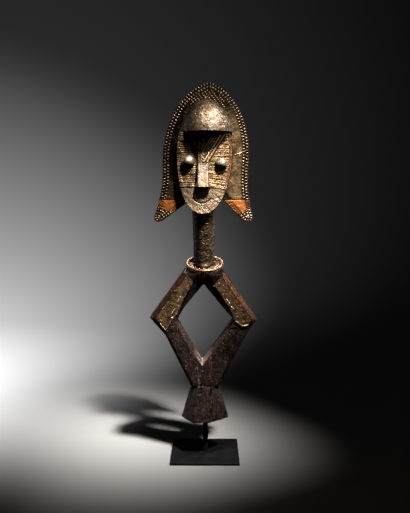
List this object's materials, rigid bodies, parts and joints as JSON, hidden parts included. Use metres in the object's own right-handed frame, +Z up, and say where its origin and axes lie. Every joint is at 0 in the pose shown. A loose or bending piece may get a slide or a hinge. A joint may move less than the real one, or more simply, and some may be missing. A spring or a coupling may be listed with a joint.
{
  "type": "kota reliquary figure",
  "caption": "Carved wood guardian figure with an oval face in a pointed hood, dressed in brass and copper sheet, over an open lozenge, on a rod and plate stand.",
  "frame": {"origin": "centre of the stand plate's underside", "axes": "+Z up, the figure faces -Y, +X to the viewer's right"},
  "size_m": [0.1567, 0.1, 0.548],
  "materials": {
    "aged_wood": "dark brown-black carved wood, crusted patina, matt",
    "hood_brass": "aged olive brass sheet, hammered, half matt",
    "cheek_brass": "aged brass strips, half matt",
    "pale_brass": "rubbed pale brass sheet, hammered, half gloss",
    "dark_sheet": "blackened brass sheet",
    "neck_brass": "crinkled golden-brown brass sheet",
    "arm_brass": "patinated brown brass sheet",
    "copper_sheet": "reddish copper sheet",
    "black_steel": "matt black painted steel"
  },
  "bodies": {
    "root": {"stand_plate": "black_steel", "stand_rod": "black_steel", "wood_figure": "aged_wood", "hood_sheet_crown": "hood_brass", "hood_sheet_left": "hood_brass", "hood_sheet_right": "hood_brass", "pendant_copper_left": "copper_sheet", "pendant_copper_right": "copper_sheet", "pendant_tip_left": "hood_brass", "pendant_tip_right": "hood_brass", "cheek_strip_left_01": "cheek_brass", "cheek_strip_left_02": "cheek_brass", "cheek_strip_left_03": "cheek_brass", "cheek_strip_left_04": "cheek_brass", "cheek_strip_left_05": "cheek_brass", "cheek_strip_left_06": "cheek_brass", "cheek_strip_left_07": "cheek_brass", "cheek_strip_left_08": "cheek_brass", "cheek_strip_left_09": "cheek_brass", "cheek_strip_left_10": "cheek_brass", "cheek_strip_left_11": "cheek_brass", "cheek_strip_left_12": "cheek_brass", "cheek_strip_left_13": "cheek_brass", "cheek_strip_right_01": "cheek_brass", "cheek_strip_right_02": "cheek_brass", "cheek_strip_right_03": "cheek_brass", "cheek_strip_right_04": "cheek_brass", "cheek_strip_right_05": "cheek_brass", "cheek_strip_right_06": "cheek_brass", "cheek_strip_right_07": "cheek_brass", "cheek_strip_right_08": "cheek_brass", "cheek_strip_right_09": "cheek_brass", "cheek_strip_right_10": "cheek_brass", "cheek_strip_right_11": "cheek_brass", "cheek_strip_right_12": "cheek_brass", "cheek_strip_right_13": "cheek_brass", "temple_strip_right": "copper_sheet", "forehead_sheet": "pale_brass", "nose_sheet": "pale_brass", "chin_sheet": "pale_brass", "eye_left": "pale_brass", "eye_right": "pale_brass", "brow_plate": "dark_sheet", "neck_sheet": "neck_brass", "collar_sheet": "neck_brass", "collar_lining": "neck_brass", "collar_rim": "copper_sheet", "arm_sheet_left": "arm_brass", "arm_sheet_right": "arm_brass", "arm_edge_left": "copper_sheet", "arm_edge_right": "copper_sheet"}
  },
  "joints": []
}
